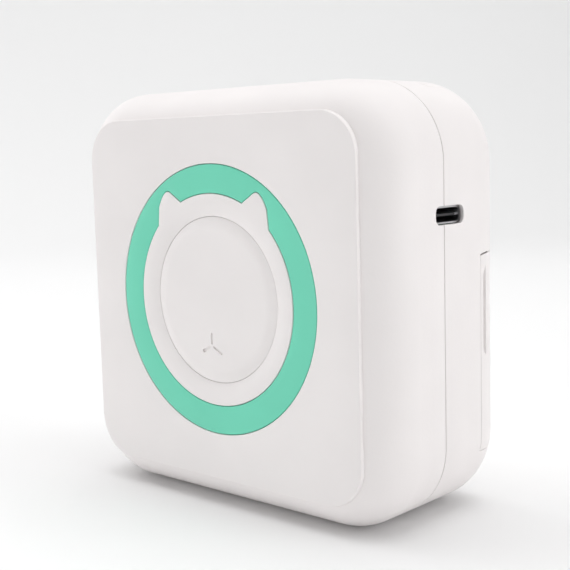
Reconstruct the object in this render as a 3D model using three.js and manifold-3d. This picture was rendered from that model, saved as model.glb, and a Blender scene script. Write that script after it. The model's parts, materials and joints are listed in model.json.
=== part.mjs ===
// Pocket thermal label printer: a square upright case in two shells, a round power key in a mint ring,
// a paper door hinged at the back, and the print mechanism inside. Millimetres, +Z up, front towards -Y.
// The origin is the middle of the footprint. Depths are measured back from the front face.
import * as THREE from "three";
import { mergeVertices } from "three/addons/utils/BufferGeometryUtils.js";
import Module from "manifold-3d";

const wasm = await Module();
wasm.setup();

// ---- Driving dimensions -------------------------------------------------------------------------

const WIDTH = 84;
const HEIGHT = 82.4;
const DEPTH = 38.8;
const CORNER_RADIUS = 15.4;
const EDGE_ROUNDING = 9;
const WALL = 2;
const SEAM_DEPTH = 17.3;
const SEAM_GAP = 0.3;

const PLATE = { halfWidth: 35.84, bottom: 5.7, top: 76.9, corner: 8.5, proud: 0.4 };
const FACE_HEIGHT = 41.4;
const RING = { outer: 26.55, inner: 20.6, thickness: 1.1, pocket: 1.4, gap: 0.2 };
// Each ear by radius and angle from the ring's centre: its base, outer shoulder, peak, inner shoulder and dip.
const EAR = { base: 43, shoulder: [23.1, 50.4], peak: [25.4, 59.2], inner: [23.5, 61.3], dip: 66 };
const KEY = { radius: 16.2, hole: 16.4, face: 0.1, edge: 0.7, back: 2.1, flange: 17.5 };
// The island round the key dips from this radius to the depth of the key's edge.
const DIP_RADIUS = 19.2;
const MOUTH = { x: -0.7, height: -8.95 };

const USB = { depth: 19.1, height: 57.7, halfLength: 4.4, halfHeight: 1.7, face: 41.1 };

const HINGE = { depth: 36.4, height: 7.6, barrel: 2.2, clearance: 0.3, ear: 27.4, pin: 0.75 };
const DOOR = { halfWidth: 33, lip: 25.7, tabFront: 29.2, tabBottom: 12, tabTop: 42.45, tabHeel: 5.2, gap: 0.4 };
const SLOT_FRONT = 23.6;
const SLOT_HALF_WIDTH = 29.5;

const MODULE = 0.5;
const TEETH = { platen: 24, compoundSmall: 12, compoundBig: 28, idler: 16, pinion: 12 };
const GEAR_PLANE_OUTER = -31.9;
const GEAR_PLANE_INNER = -30.5;
const GEAR_WIDTH = 1.2;

const PLATEN = { depth: 28.2, height: 72.8, radius: 4.5, halfLength: 25.4, shaft: 1.5 };
const ROLL = { depth: 23.6, height: 17.2, radius: 12.2, halfLength: 28.5, bore: 4 };
const HEAD = { pivotDepth: 21.6, pivotHeight: 64.8, halfWidth: 26 };
const CROSS_PLATE = 9.9;
const BOARD_DEPTH = 8;

// ---- Coordinates and small helpers ---------------------------------------------------------------

const degrees = (angle) => (angle * Math.PI) / 180;

// Row Y of a depth measured back from the front face.
const yAt = (depth) => depth - DEPTH / 2;

const at = (x, depth, z) => new THREE.Vector3(x, yAt(depth), z);

function solidOf(geometry) {
  const bare = geometry.index ? geometry.toNonIndexed() : geometry.clone();
  bare.deleteAttribute("normal");
  bare.deleteAttribute("uv");
  const merged = mergeVertices(bare, 1e-4);
  return new wasm.Manifold(
    new wasm.Mesh({
      numProp: 3,
      vertProperties: new Float32Array(merged.attributes.position.array),
      triVerts: new Uint32Array(merged.index.array),
    }),
  );
}

function geometryOf(solid) {
  const mesh = solid.getMesh();
  const geometry = new THREE.BufferGeometry();
  geometry.setAttribute("position", new THREE.BufferAttribute(mesh.vertProperties, 3));
  geometry.setIndex(new THREE.BufferAttribute(mesh.triVerts, 1));
  geometry.computeVertexNormals();
  return geometry;
}

// Joins and cuts lists of geometries, all in one frame.
function carve(base, { add = [], cut = [], keep = [] }) {
  let solid = solidOf(base);
  for (const piece of add) solid = solid.add(solidOf(piece));
  for (const piece of keep) solid = solid.intersect(solidOf(piece));
  for (const piece of cut) solid = solid.subtract(solidOf(piece));
  return geometryOf(solid);
}

// ---- Basic shapes --------------------------------------------------------------------------------

// A box from its corners, the second coordinate being a depth.
function block(x0, x1, depth0, depth1, z0, z1) {
  const box = new THREE.BoxGeometry(x1 - x0, depth1 - depth0, z1 - z0);
  box.translate((x0 + x1) / 2, yAt((depth0 + depth1) / 2), (z0 + z1) / 2);
  return box;
}

// The same box on both sides of the middle plane.
function pairOfBlocks(x0, x1, depth0, depth1, z0, z1) {
  return [block(x0, x1, depth0, depth1, z0, z1), block(-x1, -x0, depth0, depth1, z0, z1)];
}

// A round bar along one axis, centred on its own middle.
function rod(axis, radius, length, sides = 20) {
  const bar = new THREE.CylinderGeometry(radius, radius, length, sides);
  if (axis === "x") bar.rotateZ(-Math.PI / 2);
  if (axis === "z") bar.rotateX(Math.PI / 2);
  return bar;
}

function rodAt(axis, radius, length, x, depth, z, sides = 20) {
  const place = at(x, depth, z);
  return rod(axis, radius, length, sides).translate(place.x, place.y, place.z);
}

// A tube along X, centred on its own middle.
function tubeAlongX(outer, inner, length, sides = 14) {
  const profile = [
    new THREE.Vector2(inner, -length / 2),
    new THREE.Vector2(outer, -length / 2),
    new THREE.Vector2(outer, length / 2),
    new THREE.Vector2(inner, length / 2),
    new THREE.Vector2(inner, -length / 2),
  ];
  return new THREE.LatheGeometry(profile, sides).rotateZ(-Math.PI / 2);
}

// A shape drawn in X and Z, given a thickness between two depths.
function slabAlongDepth(shape, depth0, depth1, options = {}) {
  const settings = { depth: depth1 - depth0, bevelEnabled: false, curveSegments: 12, ...options };
  const slab = new THREE.ExtrudeGeometry(shape, settings);
  return slab.rotateX(Math.PI / 2).translate(0, yAt(depth1), 0);
}

// A shape drawn in Y and Z, given a thickness between two X values.
function slabAlongX(shape, x0, x1, curveSegments = 12) {
  const settings = { depth: x1 - x0, bevelEnabled: false, curveSegments };
  const slab = new THREE.ExtrudeGeometry(shape, settings);
  const turn = new THREE.Matrix4().makeBasis(
    new THREE.Vector3(0, 1, 0),
    new THREE.Vector3(0, 0, 1),
    new THREE.Vector3(1, 0, 0),
  );
  return slab.applyMatrix4(turn).translate(x0, 0, 0);
}

function roundedRectangle(halfWidth, bottom, top, radius) {
  const shape = new THREE.Shape();
  shape.moveTo(-halfWidth + radius, bottom);
  shape.lineTo(halfWidth - radius, bottom);
  shape.absarc(halfWidth - radius, bottom + radius, radius, -Math.PI / 2, 0);
  shape.lineTo(halfWidth, top - radius);
  shape.absarc(halfWidth - radius, top - radius, radius, 0, Math.PI / 2);
  shape.lineTo(-halfWidth + radius, top);
  shape.absarc(-halfWidth + radius, top - radius, radius, Math.PI / 2, Math.PI);
  shape.lineTo(-halfWidth, bottom + radius);
  shape.absarc(-halfWidth + radius, bottom + radius, radius, Math.PI, 1.5 * Math.PI);
  return shape;
}

// A slot outline with half-round ends, its long side along Y.
function stadium(centreDepth, centreHeight, halfLength, halfHeight) {
  const y = yAt(centreDepth);
  const reach = halfLength - halfHeight;
  const shape = new THREE.Shape();
  shape.moveTo(y - reach, centreHeight - halfHeight);
  shape.lineTo(y + reach, centreHeight - halfHeight);
  shape.absarc(y + reach, centreHeight, halfHeight, -Math.PI / 2, Math.PI / 2);
  shape.lineTo(y - reach, centreHeight + halfHeight);
  shape.absarc(y - reach, centreHeight, halfHeight, Math.PI / 2, 1.5 * Math.PI);
  return shape;
}

// A strip of constant thickness along a smooth curve through points of Y and Z, extruded along X.
function ribbonAlongX(points, thickness, x0, x1, steps = 16) {
  const middle = new THREE.SplineCurve(points.map(([depth, z]) => new THREE.Vector2(yAt(depth), z)));
  const left = [];
  const right = [];
  for (let i = 0; i <= steps; i += 1) {
    const point = middle.getPoint(i / steps);
    const tangent = middle.getTangent(i / steps);
    const side = new THREE.Vector2(-tangent.y, tangent.x).multiplyScalar(thickness / 2);
    left.push(point.clone().add(side));
    right.unshift(point.clone().sub(side));
  }
  return slabAlongX(new THREE.Shape([...left, ...right].reverse()), x0, x1);
}

// A round wire along a curve.
function wire(curve, radius, steps, sides) {
  const section = new THREE.Shape();
  section.absarc(0, 0, radius, 0, 2 * Math.PI);
  const settings = { steps, extrudePath: curve, curveSegments: sides / 2 };
  return new THREE.ExtrudeGeometry(section, { ...settings, bevelEnabled: false });
}

// ---- The case ------------------------------------------------------------------------------------

// The case's outer form, or its cavity when it is drawn inset by the wall.
function caseForm(inset) {
  const rounding = EDGE_ROUNDING - inset;
  const shape = roundedRectangle(WIDTH / 2 - inset, inset, HEIGHT - inset, CORNER_RADIUS - inset);
  const front = PLATE.proud + inset + rounding;
  const back = DEPTH - inset - rounding;
  return slabAlongDepth(shape, front, back, {
    bevelEnabled: true,
    bevelThickness: rounding,
    bevelSize: rounding,
    bevelOffset: -rounding,
    bevelSegments: inset ? 3 : 4,
    curveSegments: inset ? 3 : 4,
  });
}

// The ring's inner outline: a circle with two ears that stand up out of it.
function catOutline(grow) {
  const radius = RING.inner + grow;
  const polar = (r, angle) => [r * Math.cos(degrees(angle)), FACE_HEIGHT + r * Math.sin(degrees(angle))];
  const right = ([r, angle]) => polar(r + grow, angle);
  const left = ([r, angle]) => polar(r + grow, 180 - angle);
  const shape = new THREE.Shape();
  shape.moveTo(...polar(radius, EAR.base));
  shape.lineTo(...right(EAR.shoulder));
  shape.quadraticCurveTo(...right(EAR.peak), ...right(EAR.inner));
  shape.lineTo(...polar(radius, EAR.dip));
  shape.absarc(0, FACE_HEIGHT, radius, degrees(EAR.dip), degrees(180 - EAR.dip));
  shape.lineTo(...left(EAR.inner));
  shape.quadraticCurveTo(...left(EAR.peak), ...left(EAR.shoulder));
  shape.lineTo(...polar(radius, 180 - EAR.base));
  shape.absarc(0, FACE_HEIGHT, radius, degrees(180 - EAR.base), degrees(360 + EAR.base));
  return shape;
}

// The ring, grown or shrunk on both of its edges.
function ringShape(grow) {
  const shape = new THREE.Shape();
  shape.absarc(0, FACE_HEIGHT, RING.outer + grow, 0, 2 * Math.PI);
  shape.holes.push(new THREE.Path(catOutline(-grow).getPoints(16).reverse()));
  return shape;
}

const CASE_SCREWS = [17, 44].flatMap((z) => [[-37, z], [37, z]]);
const MECHANISM_SCREWS = [38.5, 74].flatMap((z) => [[-24.5, z], [24.5, z]]);

// The charging port's way through the side wall: a wide pocket with a narrower lip outside.
function usbCuts() {
  const { depth, height, halfLength, halfHeight } = USB;
  return [
    slabAlongX(stadium(depth, height, halfLength, halfHeight), 38, 44, 6),
    slabAlongX(stadium(depth, height, halfLength + 0.4, halfHeight + 0.3), 38, USB.face + 0.3, 6),
  ];
}

function frontShell() {
  const back = SEAM_DEPTH - SEAM_GAP / 2;
  const plate = slabAlongDepth(
    roundedRectangle(PLATE.halfWidth, PLATE.bottom, PLATE.top, PLATE.corner),
    0.25,
    2.2,
    { bevelEnabled: true, bevelThickness: 0.25, bevelSize: 0.25, bevelOffset: -0.25, bevelSegments: 1 },
  );
  const bosses = [
    ...CASE_SCREWS.map(([x, z]) => rodAt("y", 2.6, 13.6, x, back - 6.8, z, 10)),
    ...MECHANISM_SCREWS.map(([x, z]) => rodAt("y", 2.4, 5.7, x, 4.85, z, 10)),
  ];
  const bores = [
    ...CASE_SCREWS.map(([x, z]) => rodAt("y", 1.2, 8, x, back - 3, z, 8)),
    ...MECHANISM_SCREWS.map(([x, z]) => rodAt("y", 1.2, 5, x, 6.5, z, 8)),
  ];
  const outside = carve(caseForm(0), { add: [plate], cut: [caseForm(WALL)] });
  return carve(outside, {
    add: bosses,
    keep: [block(-43, 43, -1, back, -1, 84)],
    cut: [
      ...bores,
      slabAlongDepth(ringShape(0), -1, RING.pocket, { curveSegments: 18 }),
      rodAt("y", KEY.hole, 6, 0, 2, FACE_HEIGHT, 40),
      islandDip(),
      ...usbCuts(),
    ],
  });
}

// The air in front of the island's dip: a shallow cone that narrows towards the key.
function islandDip() {
  const slope = (DIP_RADIUS - KEY.hole) / KEY.edge;
  const ahead = 0.5;
  const beyond = 0.1;
  const profile = [
    [0, -ahead], [DIP_RADIUS + slope * ahead, -ahead],
    [KEY.hole - slope * beyond, KEY.edge + beyond], [0, KEY.edge + beyond],
  ].map(([radius, depth]) => new THREE.Vector2(radius, depth));
  return new THREE.LatheGeometry(profile, 40).translate(0, -DEPTH / 2, FACE_HEIGHT);
}

function ringInsert() {
  return slabAlongDepth(ringShape(-RING.gap), 0.05, RING.thickness, { curveSegments: 18 });
}

// ---- The paper door and the rear shell -----------------------------------------------------------

// A disc about the hinge axis, between two X values.
function aboutHinge(radius, x0, x1, sides = 40) {
  return rodAt("x", radius, x1 - x0, (x0 + x1) / 2, HINGE.depth, HINGE.height, sides);
}

// The space beside the door's upper part, on both sides, where its two tabs wrap round the case.
function tabSpace(gap) {
  const spaces = pairOfBlocks(DOOR.halfWidth - 1, 43, DOOR.tabFront - gap, 40, DOOR.tabBottom - gap, 60);
  const disc = aboutHinge(DOOR.tabTop + gap, -44, 44, 120);
  const heel = aboutHinge(DOOR.tabHeel - gap, -44, 44);
  return spaces.map((space) => carve(space, { keep: [disc], cut: [heel] }));
}

function rearShell() {
  const front = SEAM_DEPTH + SEAM_GAP / 2;
  const half = DOOR.halfWidth + DOOR.gap;
  const trough = HINGE.barrel + HINGE.clearance;
  const insideTabs = pairOfBlocks(31.6, 41, 26.6, 28.4, 9, 51.5);
  const bayWalls = pairOfBlocks(33.8, 35, 28, 36.4, 51, 77);
  const bosses = CASE_SCREWS.map(([x, z]) => rodAt("y", 2.8, 11, x, front + 5.5, z, 12));
  const ears = [-1, 1].flatMap((side) => [
    aboutHinge(HINGE.barrel, side * HINGE.ear - 1, side * HINGE.ear + 1, 20),
    block(side * HINGE.ear - 1, side * HINGE.ear + 1, 34.2, 36, 3, HINGE.height),
  ]);
  const opening = [
    block(-half, half, DOOR.lip - DOOR.gap, 40, HINGE.height, 84),
    block(-SLOT_HALF_WIDTH, SLOT_HALF_WIDTH, SLOT_FRONT, 27, 79, 84),
    block(-half, half, HINGE.depth, 40, HINGE.height - 2.7, HINGE.height + 0.1),
    aboutHinge(trough, -half, half, 32),
    ...tabSpace(DOOR.gap),
  ];
  const form = carve(caseForm(0), { keep: [block(-43, 43, front, 40, -1, 84)], cut: [caseForm(WALL)] });
  const opened = carve(form, { cut: opening });
  return carve(opened, {
    add: [...insideTabs, ...bayWalls, ...bosses, ...ears],
    keep: [caseForm(0)],
    cut: [
      ...CASE_SCREWS.map(([x, z]) => rodAt("y", 1.3, 14, x, 23, z, 8)),
      ...CASE_SCREWS.map(([x, z]) => rodAt("y", 2.3, 3, x, 28, z, 12)),
      ...pairOfBlocks(HINGE.ear + 1.1, 33.4, 34, 40, HINGE.height - 0.1, HINGE.height + 3),
      aboutHinge(HINGE.pin + 0.15, -29, 29, 16),
      ...usbCuts(),
    ],
  });
}

function paperDoor() {
  const { halfWidth, lip } = DOOR;
  const inner = HINGE.ear - 1.3;
  const outer = HINGE.ear + 1.3;
  const barrels = [
    aboutHinge(HINGE.barrel, -inner, inner, 20),
    aboutHinge(HINGE.barrel, outer, halfWidth, 20),
    aboutHinge(HINGE.barrel, -halfWidth, -outer, 20),
  ];
  const main = block(-halfWidth, halfWidth, lip, 40, HINGE.height, 84);
  const skin = carve(caseForm(0), { cut: [caseForm(WALL)] });
  const region = carve(main, { add: tabSpace(0) });
  const armForm = new THREE.Shape();
  armForm.moveTo(yAt(38), 66);
  armForm.lineTo(yAt(38), 75);
  armForm.absarc(yAt(PLATEN.depth), PLATEN.height, 4.3, degrees(80), degrees(255));
  const arms = [slabAlongX(armForm, 26.3, 28.3), slabAlongX(armForm, -28.3, -26.3)];
  const ribs = [-18, -6, 6, 18].map((x) => block(x - 0.6, x + 0.6, 35.4, 37.4, 38, 66));
  const scoop = (side) => rodAt("z", 1.9, 15.6, side * 42.6, DOOR.tabFront + 0.2, 39.4, 16);
  return carve(carve(skin, { keep: [region] }), {
    add: [...barrels, ...arms, ...ribs],
    keep: [caseForm(0)],
    cut: [
      aboutHinge(HINGE.barrel + HINGE.clearance, inner, outer, 20),
      aboutHinge(HINGE.barrel + HINGE.clearance, -outer, -inner, 20),
      aboutHinge(HINGE.pin + 0.2, 21, 26.5, 16),
      aboutHinge(HINGE.pin + 0.2, -26.5, -21, 16),
      rodAt("x", 3, 60, 0, PLATEN.depth, PLATEN.height, 24),
      scoop(1),
      scoop(-1),
    ],
  });
}

// ---- The power key -------------------------------------------------------------------------------

function powerKey() {
  const profile = [
    [0, KEY.face], [KEY.radius - 3, KEY.face + 0.05], [KEY.radius - 1.2, KEY.face + 0.3],
    [KEY.radius, KEY.edge], [KEY.radius, KEY.back + 0.7], [KEY.flange, KEY.back + 0.7],
    [KEY.flange, KEY.back + 1.7], [2.4, KEY.back + 1.7], [2.4, KEY.back + 2.1], [0, KEY.back + 2.1],
  ].map(([radius, depth]) => new THREE.Vector2(radius, depth));
  const disc = new THREE.LatheGeometry(profile, 40).translate(0, -DEPTH / 2, 0);
  const groove = (angle, length) => {
    const bar = new THREE.BoxGeometry(length, 0.6, 0.4).translate(length / 2, 0, 0);
    return bar.rotateY(-degrees(angle)).translate(MOUTH.x, yAt(KEY.face), MOUTH.height);
  };
  return carve(disc, { cut: [groove(90, 2.3), groove(-28, 3), groove(208, 2.7)] });
}

function switchBody() {
  const case6mm = new THREE.BoxGeometry(6, 3.1, 6);
  const well = rod("y", 1.95, 3.1, 16).translate(0, -1.15, 0);
  return carve(case6mm, { cut: [well] });
}

// ---- Boards, battery and leads -------------------------------------------------------------------

function mainBoard() {
  const outline = roundedRectangle(30, 27, 78.4, 3);
  return carve(slabAlongDepth(outline, BOARD_DEPTH, BOARD_DEPTH + 1.2), {
    cut: MECHANISM_SCREWS.map(([x, z]) => rodAt("y", 1.4, 4, x, BOARD_DEPTH, z, 8)),
  });
}

function pouch(width, thickness, height) {
  const shape = roundedRectangle(width / 2 - 1, -height / 2, height / 2, 1.5);
  const settings = { depth: thickness - 2, bevelThickness: 1, bevelSize: 1, bevelOffset: -1 };
  const cell = new THREE.ExtrudeGeometry(shape, { ...settings, bevelSegments: 2, curveSegments: 3 });
  return cell.rotateX(Math.PI / 2).translate(0, thickness / 2 - 1, 0);
}

// A thin lead in a soft S from the battery up to its connector.
function batteryLead(x) {
  const points = [
    at(x, 6.1, 23.9), at(x, 5.9, 25.2), at(x + 0.8, 5.6, 26.6), at(x + 1.6, 6.4, 28.4), at(x + 1.6, 6.7, 29.6),
  ];
  return wire(new THREE.CatmullRomCurve3(points), 0.45, 14, 6);
}

// The charging board's flex, from its front edge to the main board's right edge.
function usbFlex() {
  const outline = new THREE.Shape();
  outline.moveTo(35.6, yAt(11.7));
  outline.quadraticCurveTo(35.6, yAt(8.3), 30.4, yAt(8.3));
  outline.lineTo(30.4, yAt(8.6));
  outline.quadraticCurveTo(35.2, yAt(8.6), 35.2, yAt(11.7));
  return new THREE.ExtrudeGeometry(outline, { depth: 5, bevelEnabled: false, curveSegments: 8 });
}

function usbShell() {
  const { depth, height, face } = USB;
  return carve(slabAlongX(stadium(depth, height, 4.47, 1.58), face - 7.2, face, 8), {
    cut: [slabAlongX(stadium(depth, height, 4.17, 1.28), face - 6.7, face + 1, 8)],
  });
}

// ---- The print mechanism -------------------------------------------------------------------------

// A spur gear's outline about the origin, with straight-sided teeth, the first tooth at angle phase.
function gearShape(teeth, phase, bore) {
  const pitchRadius = (MODULE * teeth) / 2;
  const pitch = (2 * Math.PI) / teeth;
  const corners = [
    [pitchRadius - 1.2 * MODULE, -0.34], [pitchRadius + 0.8 * MODULE, -0.1],
    [pitchRadius + 0.8 * MODULE, 0.1], [pitchRadius - 1.2 * MODULE, 0.34],
  ];
  const points = [];
  for (let tooth = 0; tooth < teeth; tooth += 1) {
    for (const [radius, share] of corners) {
      const angle = phase + (tooth + share) * pitch;
      points.push(new THREE.Vector2(radius * Math.cos(angle), radius * Math.sin(angle)));
    }
  }
  const shape = new THREE.Shape(points);
  const hole = new THREE.Path();
  hole.absarc(0, 0, bore, 0, 2 * Math.PI, true);
  shape.holes.push(hole);
  return shape;
}

// The first-tooth angle of a gear that meshes with another, which lies the other way along direction.
function meshingPhase(phase, teeth, otherTeeth, direction) {
  const offset = ((phase - direction) * teeth) / (2 * Math.PI) + 0.5;
  return direction + Math.PI - (offset * 2 * Math.PI) / otherTeeth;
}

const centreDistance = (teethA, teethB) => (MODULE * (teethA + teethB)) / 2;
const polarStep = (centre, distance, angle) => ({
  depth: centre.depth + distance * Math.cos(angle),
  height: centre.height + distance * Math.sin(angle),
});

// The compound gear lies where the platen gear leaves it squarely as the door swings open.
const fromHinge = { depth: PLATEN.depth - HINGE.depth, height: PLATEN.height - HINGE.height };
const TO_COMPOUND = Math.atan2(-fromHinge.depth, fromHinge.height) + Math.PI;
const TO_IDLER = degrees(267);
const TO_PINION = degrees(267);
const COMPOUND = polarStep(PLATEN, centreDistance(TEETH.platen, TEETH.compoundSmall), TO_COMPOUND);
const IDLER = polarStep(COMPOUND, centreDistance(TEETH.compoundBig, TEETH.idler), TO_IDLER);
const PINION = polarStep(IDLER, centreDistance(TEETH.idler, TEETH.pinion), TO_PINION);

const platenPhase = TO_COMPOUND;
const smallPhase = meshingPhase(platenPhase, TEETH.platen, TEETH.compoundSmall, TO_COMPOUND);
const bigPhase = TO_IDLER;
const idlerPhase = meshingPhase(bigPhase, TEETH.compoundBig, TEETH.idler, TO_IDLER);
const pinionPhase = meshingPhase(idlerPhase, TEETH.idler, TEETH.pinion, TO_PINION);

const gear = (teeth, phase, bore, x0) => slabAlongX(gearShape(teeth, phase, bore), x0, x0 + GEAR_WIDTH, 8);

function compoundGear() {
  const gap = GEAR_PLANE_INNER - GEAR_PLANE_OUTER;
  const small = slabAlongX(gearShape(TEETH.compoundSmall, smallPhase, 0.95), 0.6, gap + GEAR_WIDTH, 8);
  return carve(gear(TEETH.compoundBig, bigPhase, 0.95, 0), { add: [small] });
}

function mechanismChassis() {
  const back = CROSS_PLATE + 1.2;
  const lug = new THREE.Shape();
  lug.moveTo(yAt(back - 0.5), 62.6);
  lug.lineTo(yAt(HEAD.pivotDepth), 62.6);
  lug.absarc(yAt(HEAD.pivotDepth), HEAD.pivotHeight, 2.2, -Math.PI / 2, Math.PI / 2);
  lug.lineTo(yAt(back - 0.5), 67);
  const pins = [COMPOUND, IDLER].map(({ depth, height }) => rodAt("x", 0.95, 4, -32.8, depth, height, 12));
  return carve(block(-33.4, 31, CROSS_PLATE, back, 36, 77.8), {
    add: [
      block(-33.4, -32.2, CROSS_PLATE, 26.2, 36, 77.8),
      block(29.6, 31, CROSS_PLATE, 26.2, 36, 77.8),
      slabAlongX(lug, 26.5, 27.7, 8),
      slabAlongX(lug, -27.7, -26.5, 8),
    ],
    cut: [
      ...MECHANISM_SCREWS.map(([x, z]) => rodAt("y", 1.3, 4, x, CROSS_PLATE + 0.6, z, 8)),
      block(-11, 11, 9, 12, 65.4, 71),
      block(-26, -18, 9, 12, 41.4, 44.6),
      rodAt("x", 1.15, 60, 0, HEAD.pivotDepth, HEAD.pivotHeight, 16),
      ...pins,
    ],
  });
}

function gearboxPlate() {
  return carve(block(-28.9, -28, 11.3, 23.4, 44.5, 77.6), {
    add: [block(-28.9, -23.5, 11.3, 12.1, 62.8, 70)],
    cut: [
      ...[COMPOUND, IDLER].map(({ depth, height }) => rodAt("x", 0.95, 4, -28.4, depth, height, 12)),
      rodAt("x", 2.2, 4, -28.4, PINION.depth, PINION.height, 16),
      rodAt("x", 2.1, 4, -28.4, 14.6, 66, 12),
      block(-28, -26.3, 11, 13, 62, 68),
    ],
  });
}

function paperBucket() {
  return carve(block(-30.6, 30.6, CROSS_PLATE, 33.4, 4, 34.4), {
    cut: [
      block(-29.3, 29.3, CROSS_PLATE + 1.2, 36, 5, 36),
      rodAt("x", 9, 70, 0, ROLL.depth + 9, 34.4, 24),
    ],
  });
}

function paperGuide() {
  const points = [[11.9, 35.6], [17, 36.2], [22.4, 39], [26, 44.6], [26.4, 52], [26.2, 59], [24.9, 62]];
  return carve(ribbonAlongX(points, 1, -27.8, 29.4, 20), {
    cut: [block(7.6, 12.4, 24, 28, 50, 54)],
  });
}

function stepperMotor() {
  const can = rod("x", 7, 10, 28);
  const nose = rod("x", 2, 1.2, 16).translate(-5.4, 0, 0);
  const tab = new THREE.BoxGeometry(4, 3, 5).translate(1, -1.5, -8.6);
  return carve(can, { add: [nose, tab, rod("x", 0.75, 4, 12).translate(-7.2, 0, 0)] });
}

// The head's plate, with an ear round the pivot pin at each end. Its frame is at the pivot.
function headPlate() {
  const plate = new THREE.BoxGeometry(2 * HEAD.halfWidth, 1.5, 12).translate(0, 0.05, 8);
  const ears = [-1, 1].map((side) => rod("x", 1.9, 2.4, 16).translate(side * 24.4, 0, 0));
  const webs = [-1, 1].map((side) => new THREE.BoxGeometry(2.4, 1.5, 3).translate(side * 24.4, 0.05, 1.4));
  return carve(plate, { add: [...ears, ...webs], cut: [rod("x", 1.15, 60, 16)] });
}

// A compression spring along Y, from 0 to its length.
function coilSpring(radius, wireRadius, length, turns) {
  const points = [];
  const steps = turns * 8;
  for (let i = 0; i <= steps; i += 1) {
    const angle = (i / 8) * 2 * Math.PI;
    const y = wireRadius + ((length - 2 * wireRadius) * i) / steps;
    points.push(new THREE.Vector3(radius * Math.cos(angle), y, radius * Math.sin(angle)));
  }
  return wire(new THREE.CatmullRomCurve3(points), wireRadius, steps, 4);
}

// A thin steel strip with a row of pointed teeth along its top.
function tearBar() {
  const half = 27;
  const teeth = 27;
  const shape = new THREE.Shape();
  shape.moveTo(-half, 76.4);
  shape.lineTo(half, 76.4);
  for (let i = 0; i < teeth; i += 1) {
    const right = half - (2 * half * i) / teeth;
    shape.lineTo(right, 80.9);
    shape.lineTo(right - half / teeth, 82);
  }
  shape.lineTo(-half, 80.9);
  return slabAlongDepth(shape, SLOT_FRONT + 0.1, SLOT_FRONT + 0.6);
}

// A screw along Y, its head at the back and its tip towards the front.
function screw(headRadius, headHeight, shankRadius, shankLength) {
  const profile = [
    [0, -shankLength], [shankRadius * 0.4, -shankLength], [shankRadius, -shankLength + 1],
    [shankRadius, 0], [headRadius, 0], [headRadius, headHeight * 0.6], [headRadius * 0.7, headHeight],
    [0, headHeight],
  ].map(([radius, y]) => new THREE.Vector2(radius, y));
  const cross = [new THREE.BoxGeometry(1.9, 1, 0.5), new THREE.BoxGeometry(0.5, 1, 1.9)];
  return carve(new THREE.LatheGeometry(profile, 10), { cut: cross.map((bar) => bar.translate(0, headHeight, 0)) });
}

// ---- The scene graph -----------------------------------------------------------------------------

const printer = new THREE.Group();
printer.name = "label_printer";

function groupAt(origin) {
  const group = new THREE.Group();
  group.position.copy(origin);
  printer.add(group);
  return group;
}

const doorGroup = groupAt(at(0, HINGE.depth, HINGE.height));
const platenGroup = groupAt(at(0, PLATEN.depth, PLATEN.height));
const headGroup = groupAt(at(0, HEAD.pivotDepth, HEAD.pivotHeight));

const FINISH = {
  case: [0xece7e6, 0.62, 0],
  mint: [0x76d3b7, 0.4, 0],
  darkPlastic: [0x2b2d30, 0.55, 0],
  greyPlastic: [0x8d9094, 0.6, 0],
  gearPlastic: [0xe8e4d6, 0.5, 0],
  steel: [0xb9bcc0, 0.35, 1],
  aluminium: [0xc3c6ca, 0.42, 1],
  brass: [0xb9974e, 0.4, 1],
  board: [0x1d5a38, 0.5, 0],
  flex: [0xb8792c, 0.45, 0],
  rubber: [0x1f1f20, 0.85, 0],
  ceramic: [0xe9e4da, 0.3, 0],
  pouch: [0xb4b7bb, 0.4, 0.6],
  redWire: [0xb3211c, 0.5, 0],
  blackWire: [0x18181a, 0.5, 0],
  paper: [0xf6f5f1, 0.9, 0],
  card: [0xa88458, 0.9, 0],
  lamp: [0xf4f2e8, 0.3, 0],
};

// Adds one named piece at a place given in the printer's own frame.
function piece(name, geometry, finish, position = new THREE.Vector3(), group = printer) {
  const [color, roughness, metalness] = FINISH[finish];
  const material = new THREE.MeshStandardMaterial({ color, roughness, metalness });
  const mesh = new THREE.Mesh(geometry, material);
  mesh.name = name;
  mesh.position.copy(position);
  if (group !== printer) mesh.position.sub(group.position);
  group.add(mesh);
}

// Case
piece("front_shell", frontShell(), "case");
piece("rear_shell", rearShell(), "case");
piece("ring_insert", ringInsert(), "mint");
CASE_SCREWS.forEach(([x, z], i) => {
  piece(`case_screw_${i + 1}`, screw(1.9, 1.2, 0.9, 13.5), "steel", at(x, 26.7, z));
});

// Door
piece("paper_door", paperDoor(), "case", new THREE.Vector3(), doorGroup);
for (const [name, side] of [["left", -1], ["right", 1]]) {
  const middle = at(side * 24.9, HINGE.depth, HINGE.height);
  piece(`hinge_pin_${name}`, rod("x", HINGE.pin, 6.4, 16), "steel", middle, doorGroup);
  const bushing = carve(tubeAlongX(2.75, 1.6, 2.2), {
    add: [tubeAlongX(3.6, 1.6, 0.6).translate(side * 1.35, 0, 0)],
  });
  const seat = at(side * 27.3, PLATEN.depth, PLATEN.height);
  piece(`platen_bushing_${name}`, bushing, "gearPlastic", seat, doorGroup);
}

// Power key and its switch
piece("power_key", powerKey(), "case", new THREE.Vector3(0, 0, FACE_HEIGHT));
piece("switch_plunger", rod("y", 1.7, 1.6, 16), "darkPlastic", at(0, 5.2, FACE_HEIGHT));
piece("switch_body", switchBody(), "darkPlastic", at(0, 6.3, FACE_HEIGHT));

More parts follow.
